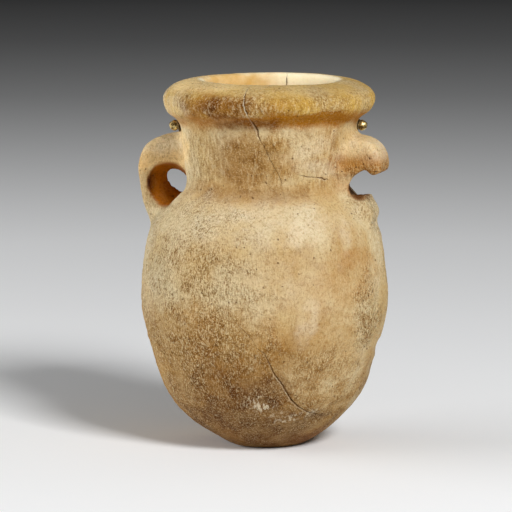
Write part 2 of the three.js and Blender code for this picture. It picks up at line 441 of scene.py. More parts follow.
# Grooves of the cracks: reach and depth in half widths, least half width, and a distance past every crack
GROOVE_REACH = 2.2
GROOVE_DEPTH = 2.2
LEAST_CRACK = 0.02 * MM
FAR = 1.0


def length(label, millimetres, description):
    """A length that a user can change"""
    return FloatProperty(
        name=label, description=description, default=millimetres * MM, min=0, precision=4, unit="LENGTH"
    )


def angle(label, degrees, description):
    """An angle that a user can change"""
    return FloatProperty(name=label, description=description, default=math.radians(degrees), unit="ROTATION")


def colour(label, code, description):
    """A colour that a user can change, given as an sRGB hex value"""
    return FloatVectorProperty(
        name=label, description=description, default=linear(code)[:3], size=3, min=0, max=1, subtype="COLOR"
    )


def linear(code):
    """Linear colour of an sRGB hex value"""
    channels = [int(code[i : i + 2], 16) / 255 for i in (1, 3, 5)]
    return (*[c / 12.92 if c <= 0.04045 else ((c + 0.055) / 1.055) ** 2.4 for c in channels], 1)


class VesselSizes(bpy.types.PropertyGroup):
    """Sizes of the carved vessel"""

    body_height: length("Body height", 91, "From the flat spot under the body up to the waist of the neck")
    belly_radius: length("Belly radius", 42.5, "Radius of the body where it is widest")
    foot_radius: length("Foot radius", 14.5, "Radius of the flat spot under the body")
    waist_radius: length("Waist radius", 28.1, "Radius of the neck where it is thinnest")
    neck_length: length("Neck length", 21.2, "From the waist up to the cove under the rim")
    neck_flare: length("Neck flare", 2.7, "How much wider the neck is at the cove under the rim")
    rim_depth: length("Rim depth", 13.9, "From the cove up to the top of the rim")
    rim_overhang: length("Rim overhang", 5.7, "How far the rim stands out over the cove")
    rim_lean: length("Rim lean", 1.75, "How far the top of the rim leans towards the broken handle")
    bore_radius: length("Bore radius", 21.5, "Radius of the bore through the neck")
    mouth_flare: length("Mouth flare", 0.7, "How much wider the bore is at the mouth")
    mouth_edge: length("Mouth edge", 1, "Width of the rounded edge of the mouth")
    belly_wall: length("Belly wall", 13.5, "Stone left round the hollow at the belly")
    floor_thickness: length("Floor thickness", 12, "Stone left under the hollow")
    handle_standoff: length("Handle standoff", 16.6, "How far the whole handle stands off the waist")
    handle_above: length("Handle above waist", 16, "How far the handles rise above the waist")
    handle_below: length("Handle below waist", 16.5, "How far the handles reach below the waist")
    handle_width: length("Handle width", 15, "Size of the handles from front to back")
    handle_round: length("Handle edge round", 6, "Radius of the rounded edges of the handles")
    broken_standoff: length("Broken standoff", 13.7, "How far the broken stub stands off the waist")
    broken_rise: length("Broken rise", 0.5, "How much higher the broken handle sits")
    hole_radius: length("Cord hole radius", 3.9, "Radius of the cord hole at its throat")
    hole_bite: length("Cord hole bite", 0.3, "How far the cord hole cuts into the waist")
    hole_drop: length("Cord hole drop", 0.9, "How far the cord hole sits below the waist")
    hole_mouth_radius: length("Cord mouth radius", 7.9, "Radius of the cord hole at the handle's faces")
    hole_mouth_out: length("Cord mouth out", 1.2, "How far out the mouths of the hole sit from its throat")
    hole_mouth_drop: length("Cord mouth drop", 0.9, "How far down the mouths of the hole sit from its throat")
    broken_hole_radius: length("Broken hole radius", 4.4, "Radius of the other cord hole at its throat")
    broken_hole_clear: length("Broken hole clearance", 0.6, "Stone left between that hole and the waist")
    broken_hole_rise: length("Broken hole rise", 0.4, "How far that hole sits above the waist")
    broken_hole_mouth: length("Broken hole mouth", 5, "Radius of that hole at the handle's faces")
    broken_mouth_out: length("Broken mouth out", 1.2, "How far out that hole's mouths sit from its throat")
    broken_mouth_drop: length("Broken mouth drop", 0.8, "How far down that hole's mouths sit from its throat")
    broken_hole_turn: angle("Broken hole turn", 13, "Turn of that hole's line, its back towards the neck")
    voxel: length("Mesh fineness", 0.95, "Size of the cells that the carved form is rebuilt from")
    crack_depth: length("Crack depth", 0.5, "How deep the cracks are cut")


class StudSizes(bpy.types.PropertyGroup):
    """Sizes of the studs under the rim"""

    turn: angle("Stud turn", 15, "Turn of the studs off the handles' line, the left one to the front")
    ball_radius: length("Ball radius", 1.6, "Radius of the head of a stud")
    ball_swell: length("Ball swell", 0.2, "How much fuller the cast head is than its plain ball")
    ball_rise: length("Ball rise", 1.7, "From the back of the washer to the middle of the ball")
    shank_radius: length("Shank radius", 0.9, "Radius of the shank of a stud")
    washer_radius: length("Washer radius", 2.2, "Radius of the washer under the head")
    washer_thickness: length("Washer thickness", 0.7, "Thickness of the washer under the head")
    rove_radius: length("Rove radius", 2, "Radius of the rove inside the neck")
    rove_thickness: length("Rove thickness", 0.8, "Thickness of the rove inside the neck")
    peen_radius: length("Peen radius", 1.6, "Radius of the hammered end of the shank")
    peen_length: length("Peen length", 0.8, "How far the hammered end stands off the rove")
    fit_gap: length("Fit gap", 0.3, "Room left round the shank and under each washer")


class Finishes(bpy.types.PropertyGroup):
    """Colours of the stone and the metals, and of the light and shade painted on the stone"""

    cream: colour("Cream stone", "#d0be98", "Calcite where it is pale and dense")
    honey: colour("Honey stone", "#c2a571", "Calcite where it is clear and warm")
    tan: colour("Tan stone", "#aa8a5b", "Veins and worn skin of the stone")
    # Painted light: a pale warm tint that stands in for light on the handle tops, the rim's top and the foot
    painted_light: colour("Thin stone", "#fadba0", "Clear stone at thin edges, where light comes through")
    # Painted glow: a pale tint over the inner wall that stands in for light coming through the stone
    glow: colour("Lit stone", "#fff0ca", "Inner wall, where light comes through the stone")
    # Painted glow: the amber of light shining through thin stone
    painted_amber_glow: colour("Amber stone", "#a76c03", "Thin stone that light shines through")
    # Painted shade and orange glow in the cord holes and in the notch of the broken handle
    drill: colour("Cord hole stain", "#aa6200", "Warm stain that darkens the cord hole")
    rust: colour("Rust stain", "#b98a42", "Iron stain in the stone")
    varnish: colour("Rim stain", "#caa24a", "Old stain over the rim")
    # Yellow stain, also used as painted shade over the lower body, in the waist and under the rim
    ochre_and_shade: colour("Ochre stain", "#d7b67c", "Yellow earth stain over the neck and the lower body")
    # Earth and painted shade: darkens the foot, and stands in for shade in the hollows
    soil_and_shade: colour("Soil stain", "#9b8068", "Dark earth in the pores of the foot and the hollows")
    fleck: colour("Flecks", "#b8a072", "Dark flecks of the worn grain")
    glint: colour("Pale flecks", "#efdcb0", "Bare grains that catch the light")
    # Also the colour of the painted highlights on the handle tops and beside the cracks
    bloom_and_highlight: colour("White bloom", "#e9dcc0", "Chalky skin where the stone has weathered")
    # Dirt in pits, and painted shade in the cracks and the cord holes
    pit: colour("Pits", "#5c3a1a", "Dirt at the bottom of pits and cracks")
    gilt: colour("Gilding", "#e2c98a", "Gilding on the studs")
    bronze: colour("Bronze", "#6a5530", "Tarnished bronze of washers and worn gilding")
    floor: colour("Floor", "#fdfeff", "Tint of the paper floor")


class StageSizes(bpy.types.PropertyGroup):
    """Camera, lights and floor"""

    camera_azimuth: angle("Camera azimuth", 15, "Turn of the camera from the front towards the broken handle")
    camera_elevation: angle("Camera elevation", 8, "Height of the camera above the horizon")
    camera_distance: length("Camera distance", 1200, "From the camera to the point that it looks at")
    aim_height: length("Aim height", 64.6, "Height of the point that the camera looks at")
    aim_side: length("Aim offset", 3, "How far that point lies to the left of the axis")
    lens: FloatProperty(name="Lens", description="Focal length in millimetres", default=244.34, min=1)
    key_azimuth: angle("Key azimuth", 47, "Turn of the main lamp from the front towards the broken handle")
    key_elevation: angle("Key elevation", 37, "Height of the main lamp above the horizon")
    key_distance: length("Key distance", 1500, "Distance of the main lamp")
    key_size: length("Key size", 420, "Side of the main lamp")
    key_power: FloatProperty(name="Key power", description="Power of the main lamp", default=22, unit="POWER")
    card_azimuth: angle("Card azimuth", -78, "Turn of the reflector card from the front")
    card_elevation: angle("Card elevation", 11, "Height of the reflector card above the horizon")
    card_distance: length("Card distance", 1300, "Distance of the reflector card")
    card_width: length("Card width", 1300, "Width of the reflector card")
    card_height: length("Card height", 600, "Height of the reflector card")
    card_power: FloatProperty(
        name="Card power", description="Light sent back by the card", default=14.5, unit="POWER"
    )
    sky_strength: FloatProperty(name="Sky strength", description="Light from all round", default=0.11, min=0)
    floor_size: length("Floor size", 12000, "Side of the floor")


def keep_mesh(name, bm):
    """Turns a bmesh into a smooth-shaded object at the origin and links it"""
    mesh = bpy.data.meshes.new(name)
    bm.to_mesh(mesh)
    bm.free()
    mesh.shade_smooth()
    piece = bpy.data.objects.new(name, mesh)
    bpy.context.scene.collection.objects.link(piece)
    return piece


def applied(piece):
    """Gives a piece the mesh that its modifiers make, and takes the modifiers off"""
    depsgraph = bpy.context.evaluated_depsgraph_get()
    mesh = bpy.data.meshes.new_from_object(piece.evaluated_get(depsgraph))
    mesh.name = piece.name
    piece.modifiers.clear()
    old = piece.data
    piece.data = mesh
    bpy.data.meshes.remove(old)
    mesh.shade_smooth()
    return piece


def spline(points, steps):
    """Points along a smooth curve through the given points"""
    curve = []
    last = len(points) - 1
    pull = 6
    for i in range(last):
        start, end = points[i], points[i + 1]
        start_handle = start + (end - points[max(i - 1, 0)]) / pull
        end_handle = end - (points[min(i + 2, last)] - start) / pull
        curve += interpolate_bezier(start, start_handle, end_handle, end, steps + 1)[:-1]
    return [*curve, points[last]]


def between(start, end, share):
    """A place a share of the way from one size to another"""
    return start + share * (end - start)


def at(out, height):
    """A point of an outline: a distance out from the axis and a height"""
    return Vector((out, 0, height))


def cove_height(s):
    return s.body_height + s.neck_length


def crown_height(s):
    return cove_height(s) + s.rim_depth


def cove_radius(s):
    return s.waist_radius + s.neck_flare


def crown_radius(s):
    return s.bore_radius + s.mouth_flare + s.mouth_edge


def stud_height(s, studs):
    """Height of the studs, just over the top of the broken handle"""
    return s.body_height + s.handle_above + s.broken_rise + studs.fit_gap + studs.washer_radius


def quarter_ellipse(middle, out, up, turns):
    """Points along part of an ellipse in the plane of an outline, at the given shares of a quarter turn"""
    return [middle + at(out * math.cos(TURN / 4 * turn), up * math.sin(TURN / 4 * turn)) for turn in turns]


def lean_at(s, height):
    """How far the axis of the neck stands towards +X at a height"""
    start = LEAN_START_SHARE * s.body_height
    return s.rim_lean * max(0, height - start) / (crown_height(s) - start)


def outer_outline(s, steps):
    """Outer outline of the vessel, from the axis at the foot to the top of the rim"""
    cove, crown = cove_height(s), crown_height(s)
    rim_radius = cove_radius(s) + s.rim_overhang
    rim_height = between(cove, crown, RIM_WIDEST_SHARE)
    anchors = [at(s.foot_radius, 0)]
    anchors += [at(out * s.belly_radius, up * s.body_height) for out, up in BODY_SHARES]
    anchors += [
        at(s.waist_radius, s.body_height),
        at(between(s.waist_radius, cove_radius(s), NECK_TURN[0]), between(s.body_height, cove, NECK_TURN[1])),
        at(cove_radius(s), cove),
        at(between(cove_radius(s), rim_radius, RIM_UNDER[0]), between(cove, crown, RIM_UNDER[1])),
        at(rim_radius, rim_height),
    ]
    turns = [i / steps for i in range(1, steps + 1)]
    middle = at(crown_radius(s), rim_height)
    crown_arc = quarter_ellipse(middle, rim_radius - crown_radius(s), crown - rim_height, turns)
    return [at(0, 0), at(s.foot_radius / 2, 0), *spline(anchors, steps), *crown_arc]


def inner_outline(s, steps):
    """Inner outline of the vessel, from the top of the rim down to the axis at the floor"""
    cove, crown = cove_height(s), crown_height(s)
    mouth_radius = s.bore_radius + s.mouth_flare
    mouth_height = between(cove, crown, MOUTH_UP_SHARE)
    hollow_radius = s.belly_radius - s.belly_wall
    turns = [1 + i / steps for i in range(1, steps)]
    middle = at(crown_radius(s), mouth_height)
    mouth_arc = quarter_ellipse(middle, s.mouth_edge, crown - mouth_height, turns)
    anchors = [
        at(mouth_radius, mouth_height),
        at(s.bore_radius, between(s.body_height, cove, BORE_TOP_SHARE)),
        at(s.bore_radius, s.body_height),
    ]
    for out, up in HOLLOW_SHARES:
        anchors.append(at(out * hollow_radius, between(s.floor_thickness, s.body_height, up)))
    anchors.append(at(0, s.floor_thickness))
    return [*mouth_arc, *spline(anchors, steps)]


def spun(points, turn_steps):
    """A closed skin spun about the Z axis from an outline that ends on the axis or closes on itself"""
    bm = bmesh.new()
    verts = [bm.verts.new(point) for point in points]
    edges = [bm.edges.new(pair) for pair in zip(verts, verts[1:])]
    bmesh.ops.spin(
        bm,
        geom=verts + edges,
        cent=(0, 0, 0),
        axis=(0, 0, 1),
        angle=TURN,
        steps=turn_steps,
        use_merge=True,
    )
    bmesh.ops.remove_doubles(bm, verts=bm.verts, dist=MERGE)
    bmesh.ops.recalc_face_normals(bm, faces=bm.faces)
    return bm


def turned_body(s):
    """The turned vessel with its hollow, spun from its outline"""
    outline_steps, turn_steps = 6, 160
    return lean(s, spun(outer_outline(s, outline_steps) + inner_outline(s, outline_steps), turn_steps))


def lean(s, bm):
    """Moves each vertex with the lean of the neck"""
    for vert in bm.verts:
        vert.co.x += lean_at(s, vert.co.z)
    return bm


def handle_point(s, share, side, standoff, rise):
    """A place in a handle's box, from shares of its reach and its height"""
    root = s.waist_radius - ROOT_DEPTH_SHARE * (s.waist_radius - s.bore_radius)
    out = between(root, s.waist_radius + standoff, share[0])
    foot, top = s.body_height - s.handle_below, s.body_height + s.handle_above
    return at(side * out, between(foot, top, share[1]) + rise)


def slab(points, width):
    """An outline in the plane of the handles, extruded across their width"""
    bm = bmesh.new()
    face = bm.faces.new([bm.verts.new(point) for point in points])
    bmesh.ops.translate(bm, verts=bm.verts, vec=(0, -width / 2, 0))
    grown = bmesh.ops.extrude_face_region(bm, geom=[face])["geom"]
    moved = [item for item in grown if isinstance(item, bmesh.types.BMVert)]
    bmesh.ops.translate(bm, verts=moved, vec=(0, width, 0))
    bmesh.ops.recalc_face_normals(bm, faces=bm.faces)
    return bm


def handle(s, side, standoff, rise):
    """One lug handle on its side of the neck, its root sunk in the wall"""
    curve_steps, round_segments = 3, 5
    curve = spline([handle_point(s, share, side, standoff, rise) for share in HANDLE_SHARES], curve_steps)
    root = handle_point(s, (0, 1), side, standoff, rise)
    foot = handle_point(s, (HANDLE_FOOT_INNER_SHARE, 0), side, standoff, rise)
    bm = slab([root, *curve, foot], s.handle_width)
    rims = [edge for edge in bm.edges if abs(edge.verts[0].co.y - edge.verts[1].co.y) < MERGE]
    bmesh.ops.bevel(
        bm,
        geom=rims,
        offset=s.handle_round,
        segments=round_segments,
        profile=0.5,
        affect="EDGES",
        clamp_overlap=True,
        material=-1,
    )
    return lean(s, bm)


def hourglass_hole(s, throat, throat_radius, mouth, mouth_radius, oval, slope):
    """A hole drilled from both faces of a handle, which widens from its oval throat to both of them"""
    rings, turn_steps, past, bell = 12, 32, 2, 0.7
    reach = s.handle_width / 2
    outline = [at(0, -past * reach)]
    for i in range(-rings, rings + 1):
        across = past * i / rings
        widening = min(1, abs(across)) ** bell
        outline.append(at(between(throat_radius, mouth_radius, widening), across * reach))
    outline.append(at(0, past * reach))
    bm = spun(outline, turn_steps)
    bmesh.ops.rotate(bm, verts=bm.verts, cent=(0, 0, 0), matrix=Matrix.Rotation(TURN / 4, 3, "X"))
    along, over = at(math.cos(slope), math.sin(slope)), at(-math.sin(slope), math.cos(slope))
    for vert in bm.verts:
        share = min(1, abs(vert.co.y) / reach)
        vert.co += (between(oval[0], 1, share) - 1) * vert.co.dot(along) * along
        vert.co += (between(oval[1], 1, share) - 1) * vert.co.dot(over) * over
        vert.co += throat + share * (mouth - throat)
    return lean(s, bm)


def break_cutter(s):
    """What is missing of the broken handle"""
    points = [handle_point(s, share, 1, s.broken_standoff, s.broken_rise) for share in BREAK_SHARES]
    return lean(s, slab(points, 2 * s.handle_width))


def stud_line(s, studs, side):
    """Where a stud lies: its Z axis runs out from the middle of the neck, at the height of the studs"""
    height = stud_height(s, studs)
    turn = studs.turn if side > 0 else studs.turn + TURN / 2
    outwards = Matrix.Rotation(turn, 4, "Z") @ Matrix.Rotation(TURN / 4, 4, "Y")
    return Matrix.Translation((lean_at(s, height), 0, height)) @ outwards


def stud_hole(s, studs, side):
    """The drilled hole for a stud through the wall of the neck"""
    turn_steps = 32
    height = stud_height(s, studs)
    radius = studs.shank_radius + studs.fit_gap
    inside = outline_radius(inner_outline(s, turn_steps), height) - radius
    outside = outline_radius(outer_outline(s, turn_steps), height) + radius
    bm = spun([at(0, inside), at(radius, inside), at(radius, outside), at(0, outside)], turn_steps)
    bmesh.ops.transform(bm, matrix=stud_line(s, studs, side), verts=bm.verts)
    return bm


def cord_throat(s):
    """Middle of the cord hole through the whole handle"""
    return at(-s.waist_radius - s.hole_radius + s.hole_bite, s.body_height - s.hole_drop)


def cord_mouth(s):
    """Middle of that hole at the faces of the handle"""
    return cord_throat(s) + Vector((-s.hole_mouth_out, 0, -s.hole_mouth_drop))


def broken_hole(s):
    """Middle of the cord hole through the broken handle"""
    return at(s.waist_radius + s.broken_hole_radius + s.broken_hole_clear, s.body_height + s.broken_hole_rise)


def broken_mouth(s):
    """Middle of that hole at the faces of the handle"""
    return broken_hole(s) + Vector((s.broken_mouth_out, 0, -s.broken_mouth_drop))


def cut_with(piece, operation, bm):
    """Joins a closed form to a piece or cuts it away, once the piece is made"""
    cutter = keep_mesh("cutter", bm)
    boolean = piece.modifiers.new("Carving", "BOOLEAN")
    boolean.operation = operation
    boolean.solver = "MANIFOLD"
    boolean.object = cutter
    return cutter


def carved_vessel(s, studs):
    """The vessel, its handles and holes as one skin of even cells, softened as worn stone is"""
    vessel = keep_mesh("carved_vase", turned_body(s))
    left_hole = hourglass_hole(
        s,
        cord_throat(s),
        s.hole_radius,
        cord_mouth(s),
        s.hole_mouth_radius,
        LEFT_THROAT_SHARES,
        LEFT_THROAT_SLOPE,
    )
    right_hole = hourglass_hole(
        s,
        broken_hole(s),
        s.broken_hole_radius,
        broken_mouth(s),
        s.broken_hole_mouth,
        RIGHT_THROAT_SHARES,
        RIGHT_THROAT_SLOPE,
    )
    turned = Matrix.Rotation(s.broken_hole_turn, 3, "Z")
    bmesh.ops.rotate(right_hole, verts=right_hole.verts, cent=broken_mouth(s), matrix=turned)
    cutters = [
        cut_with(vessel, "UNION", handle(s, -1, s.handle_standoff, 0)),
        cut_with(vessel, "UNION", handle(s, 1, s.broken_standoff, s.broken_rise)),
    ]
    evened(s, vessel)
    soften_roots(s, vessel)
    cutters += [cut_with(vessel, "DIFFERENCE", cutter) for cutter in (left_hole, right_hole, break_cutter(s))]
    evened(s, vessel)
    cutters += [cut_with(vessel, "DIFFERENCE", stud_hole(s, studs, side)) for side in (-1, 1)]
    applied(vessel)
    for cutter in cutters:
        mesh = cutter.data
        bpy.data.objects.remove(cutter)
        bpy.data.meshes.remove(mesh)
    return vessel


def evened(s, vessel):
    """Rebuilds the carved form from even cells and softens its edges"""
    remesh = vessel.modifiers.new("Even cells", "REMESH")
    remesh.mode = "VOXEL"
    remesh.voxel_size = s.voxel
    smooth = vessel.modifiers.new("Worn edges", "SMOOTH")
    smooth.factor = 0.5
    smooth.iterations = 2
    applied(vessel)


def soften_roots(s, vessel):
    """Rounds out the corners where the handles grow from the neck"""
    reach, core_share, fade, rounds = 8 * MM, 0.4, 2, 26
    skin = Skin(s, vessel.data)
    away = skin.radius - skin.outline(outer_outline(s, OUTLINE_STEPS))
    side = numpy.abs(skin.y) - s.handle_width / 2
    foot, top = s.body_height - s.handle_below, s.body_height + s.handle_above
    beyond = numpy.maximum(foot - skin.height, skin.height - top)
    face = numpy.hypot(away, side) + fade * numpy.maximum(0, beyond)
    over = numpy.hypot(away, skin.height - top) + fade * numpy.maximum(0, side)
    weights = ramp(reach, core_share * reach, numpy.minimum(face, over)) * skin.outside
    group = vessel.vertex_groups.new(name="roots")
    for i in numpy.flatnonzero(weights > 0):
        group.add([int(i)], float(weights[i]), "REPLACE")
    smooth = vessel.modifiers.new("Soft roots", "SMOOTH")
    smooth.factor = 0.5
    smooth.iterations = rounds
    smooth.vertex_group = group.name
    applied(vessel)
    vessel.vertex_groups.clear()


def read_mesh(mesh):
    """Places and normals of a mesh's vertices as arrays"""
    count = len(mesh.vertices)
    places = numpy.empty(count * 3, numpy.float32)
    normals = numpy.empty(count * 3, numpy.float32)
    mesh.vertices.foreach_get("co", places)
    mesh.vertex_normals.foreach_get("vector", normals)
    return places.reshape(-1, 3).astype(float), normals.reshape(-1, 3).astype(float)


def ramp(low, high, values):
    """Smooth step from 0 at one value to 1 at the other"""
    share = numpy.clip((values - low) / (high - low), 0, 1)
    return share * share * (3 - 2 * share)


def waves(places, size, shift):
    """Smooth noise of a wave size at each place"""
    offset = Vector([share * shift for share in NOISE_SHIFTS])
    return numpy.array([noise.noise(Vector(place) / size + offset) for place in places])


class Skin:
    """The vertices of the vessel as the carver sees them: round the axis, up it, and outside or inside"""

    def __init__(self, s, mesh):
        self.places, self.normals = read_mesh(mesh)
        self.height = self.places[:, 2]
        leaned = numpy.array([lean_at(s, z) for z in self.height])
        self.x = self.places[:, 0] - leaned
        self.y = self.places[:, 1]
        self.radius = numpy.hypot(self.x, self.y)
        self.azimuth = numpy.degrees(numpy.arctan2(self.x, -self.y))
        outer = self.outline(outer_outline(s, OUTLINE_STEPS))
        inner = self.outline(inner_outline(s, OUTLINE_STEPS))
        low, high = INSIDE_RISE
        rise = ramp(s.body_height + low, s.body_height + high, self.height)
        middle = between(inner, outer, between(*INSIDE_SHARES, rise))
        blur = 0.3 * MM
        inside = ramp(-blur, blur, middle - self.radius) * (self.height > s.floor_thickness / 2)
        self.outside = 1 - inside
        self.ragged = numpy.zeros(len(self.places))
        for size, strength, shift in RAGGED_LAYERS:
            self.ragged += strength * waves(self.places, size * MM, shift)

    def outline(self, points):
        """Radius of an outline at the height of each vertex"""
        points = sorted(points, key=lambda point: point.z)
        return numpy.interp(self.height, [point.z for point in points], [point.x for point in points])

    def hole(self, middle, radius, turn):
        """How much each vertex lies in a cord hole"""
        aside = self.places[:, 0] + math.tan(turn) * self.y - middle.x
        away = numpy.hypot(aside, self.height - middle.z)
        faded, full = HOLE_EDGE_SHARES
        return ramp(radius * faded, radius * full, away) * (numpy.abs(self.y) < radius * HOLE_REACH_SHARE)

    def patch(self, azimuth, height, half_width, half_height, tilt):
        """How much each vertex lies in a soft-edged patch, whether outside or inside"""
        turned = (self.azimuth - azimuth + 180) % 360 - 180
        across = numpy.radians(turned) * self.radius
        up = self.height - height * MM
        slope = math.radians(tilt)
        side = across * math.cos(slope) - up * math.sin(slope)
        rise = across * math.sin(slope) + up * math.cos(slope)
        reach = numpy.hypot(side / (half_width * MM), rise / (half_height * MM))
        return ramp(*PATCH_EDGE_SHARES, reach + PATCH_RAGGED_SHARE * self.ragged)

    def strongest(self, patches):
        """The strongest of the listed patches at each vertex"""
        return numpy.max([strength * self.patch(*where) for *where, strength in patches], axis=0)


def outline_radius(outline, height):
    """Radius of an outline at a height"""
    for low, high in zip(outline, outline[1:]):
        if min(low.z, high.z) <= height <= max(low.z, high.z) and low.z != high.z:
            return between(low.x, high.x, (height - low.z) / (high.z - low.z))
    raise ValueError("the outline doesn't reach this height")


def crack_lines(s):
    """The cracks as lines of points in space, each point with its half width"""
    outside = outer_outline(s, OUTLINE_STEPS)
    inside = inner_outline(s, OUTLINE_STEPS)
    cracks = [(outside, crack) for crack in (FRONT_CRACK, SIDE_CRACK, LOWER_CRACK, BACK_CRACK)]
    cracks.append((inside, MOUTH_CRACK))
    cracks += [(outside, scratch) for scratch in SCRATCHES]
    lines = []
    for outline, crack in cracks:
        line = []
        for azimuth, height, half_width in crack:
            radius = outline_radius(outline, height * MM)
            turn = math.radians(azimuth)
            out = radius * math.sin(turn) + lean_at(s, height * MM)
            line.append((Vector((out, -radius * math.cos(turn), height * MM)), half_width * MM))
        lines.append(line)
    return lines


def crack_field(places, normals, lines):
    """Signed distance of each vertex to the nearest crack, and the half width of the crack there"""
    nearest = numpy.full(len(places), FAR)
    signed = numpy.full(len(places), FAR)
    widths = numpy.zeros(len(places))
    for line in lines:
        for (start, start_width), (end, end_width) in zip(line, line[1:]):
            along = numpy.array(end - start)
            run = numpy.clip((places - numpy.array(start)) @ along / (along @ along), 0, 1)
            away = places - (numpy.array(start) + run[:, None] * along)
            distance = numpy.linalg.norm(away, axis=1)
            closer = distance < nearest
            side = numpy.einsum("ij,ij->i", numpy.cross(along, away), normals)
            nearest[closer] = distance[closer]
            signed[closer] = (numpy.sign(side) * distance)[closer]
            widths[closer] = (start_width + run * (end_width - start_width))[closer]
    return nearest, signed, widths


def refine_cracks(vessel, lines):
    """Splits the cells along the cracks, so that the grooves have room"""
    near, narrowing, cuts = 1.4 * MM, 1.6, 2
    for _ in range(cuts):
        places, normals = read_mesh(vessel.data)
        nearest, _, _ = crack_field(places, normals, lines)
        bm = bmesh.new()
        bm.from_mesh(vessel.data)
        bm.verts.ensure_lookup_table()
        close = {int(i) for i in numpy.flatnonzero(nearest < near)}
        edges = [edge for edge in bm.edges if edge.verts[0].index in close and edge.verts[1].index in close]
        bmesh.ops.subdivide_edges(bm, edges=edges, cuts=1, use_grid_fill=True)
        bm.to_mesh(vessel.data)
        bm.free()
        near /= narrowing


def set_attribute(mesh, name, kind, field, values):
    """Stores a value for each vertex, for the material to read"""
    attribute = mesh.attributes.new(name, kind, "POINT")
    attribute.data.foreach_set(field, numpy.ascontiguousarray(values, numpy.float32).ravel())


def worn_places(s, skin, rough, nearest, widths):
    """Where the vertices go as the stone wears: waves, dents, grooves, the heel and the rim's under edge"""
    move = numpy.zeros(len(skin.places))
    for size, depth, shift in WEATHER_LAYERS:
        move += depth * MM * waves(skin.places, size * MM, shift)
    size, depth, shift = ROUGH_LAYER
    move += rough * depth * MM * waves(skin.places, size * MM, shift)
    for *where, depth in DENTS:
        move -= depth * MM * skin.patch(*where) * skin.outside
    heel = ramp(HEEL_HEIGHT, 0, skin.height)
    move *= 1 - heel
    groove = ramp(GROOVE_REACH, 0, nearest / numpy.maximum(widths, LEAST_CRACK))
    move -= groove * numpy.minimum(s.crack_depth, GROOVE_DEPTH * widths)
    places = skin.places + skin.normals * move[:, None]
    leftwards = -skin.places[:, 0]
    places[:, 2] += heel * HEEL_WEAR * numpy.maximum(0, leftwards - HEEL_WEAR_START)
    below, crest, above = 7 * MM, 3 * MM, 8 * MM
    cove = cove_height(s)
    under = ramp(cove - below, cove, skin.height) * ramp(cove + above, cove + crest, skin.height)
    tilted = skin.places[:, 0] * ramp(*RIM_UNDER_END, skin.places[:, 0])
    places[:, 2] += skin.outside * under * RIM_UNDER_TILT * tilted
    return numpy.clip(places, CAD_BOX[0], CAD_BOX[1])


def drilled_mask(s, skin):
    """How much each vertex lies on the wall of a cord hole, or on what is left of the broken one, where shade
    and glow are painted
    """
    edge, ragged_share, broken_share, past = 0.3, 0.7, 0.95, 2 * MM
    flat_face = (0.92, 0.7)
    drilled = skin.hole(cord_mouth(s), s.hole_mouth_radius + (edge + ragged_share * skin.ragged) * MM, 0)
    top, foot = BREAK_TOP
    wedge = ramp(s.body_height + top, s.body_height + foot, skin.height) * ramp(*BREAK_SIDE, skin.x)
    broken = skin.hole(broken_mouth(s), s.broken_hole_mouth + edge * MM, s.broken_hole_turn)
    drilled = numpy.maximum(drilled, broken_share * wedge * broken)
    drilled *= ramp(*flat_face, numpy.abs(skin.normals[:, 1]))
    drilled *= ramp(s.handle_width / 2 + past, s.handle_width / 2, numpy.abs(skin.y))
    return skin.outside * drilled


def rim_mask(s, skin):
    """How much each vertex lies on the stained rim, less on its top than on its side, so that the top reads
    lighter as painted light
    """
    low, high, painted_top_light = 2 * MM, 5 * MM, 0.35
    upward = (0.5, 0.9)
    cove = cove_height(s)
    rim = skin.outside * ramp(cove + low, cove + high, skin.height + skin.ragged * MM)
    return rim * (1 - painted_top_light * ramp(*upward, skin.normals[:, 2]))


def weather(s, vessel, lines):
    """Carves dents, unevenness and cracks into the skin, and notes where the stone changes"""
    mesh = vessel.data
    skin = Skin(s, mesh)
    masks = {name: skin.strongest(patches) * skin.outside for name, patches in PATCHES.items()}
    masks["inside"] = 1 - skin.outside
    masks["ochre_and_shade"] += skin.strongest(INNER_STAINS) * masks["inside"]
    masks["drilled"] = drilled_mask(s, skin)
    masks["rim"] = rim_mask(s, skin)
    nearest, signed, widths = crack_field(skin.places, skin.normals, lines)
    places = worn_places(s, skin, masks["rough"], nearest, widths)
    mesh.vertices.foreach_set("co", places.astype(numpy.float32).ravel())
    mesh.update()
    for name, values in masks.items():
        set_attribute(mesh, name, "FLOAT", "value", values)
    crack = numpy.stack([signed / MM, widths / MM, numpy.zeros_like(signed)], axis=1)
    set_attribute(mesh, "crack", "FLOAT_VECTOR", "vector", crack)


def add_node(tree, kind, settings, inputs):
    """Adds a node with its settings; its inputs, by name or in order, are values, sockets or other nodes"""
    node = tree.nodes.new(kind)
    for name, value in settings.items():
        setattr(node, name, value)
    sockets = [socket for socket in node.inputs if socket.enabled]
    if isinstance(inputs, dict):
        sockets = [next(socket for socket in sockets if socket.name == name) for name in inputs]
        inputs = list(inputs.values())
    for socket, value in zip(sockets, inputs):
        if isinstance(value, bpy.types.Node):
            value = next(output for output in value.outputs if output.enabled)
        if isinstance(value, bpy.types.NodeSocket):
            tree.links.new(value, socket)
        else:
            socket.default_value = value
    return node


def new_material(name):
    """An empty node material and its tree"""
    material = bpy.data.materials.new(name)
    material.use_nodes = True
    tree = material.node_tree
    tree.nodes.clear()
    return material, tree


def per(millimetres):
    """Texture scale that gives a pattern a real size"""
    return 1 / (millimetres * MM)


def solid(colour_value):
    """A colour property as a socket value"""
    return (*colour_value, 1)


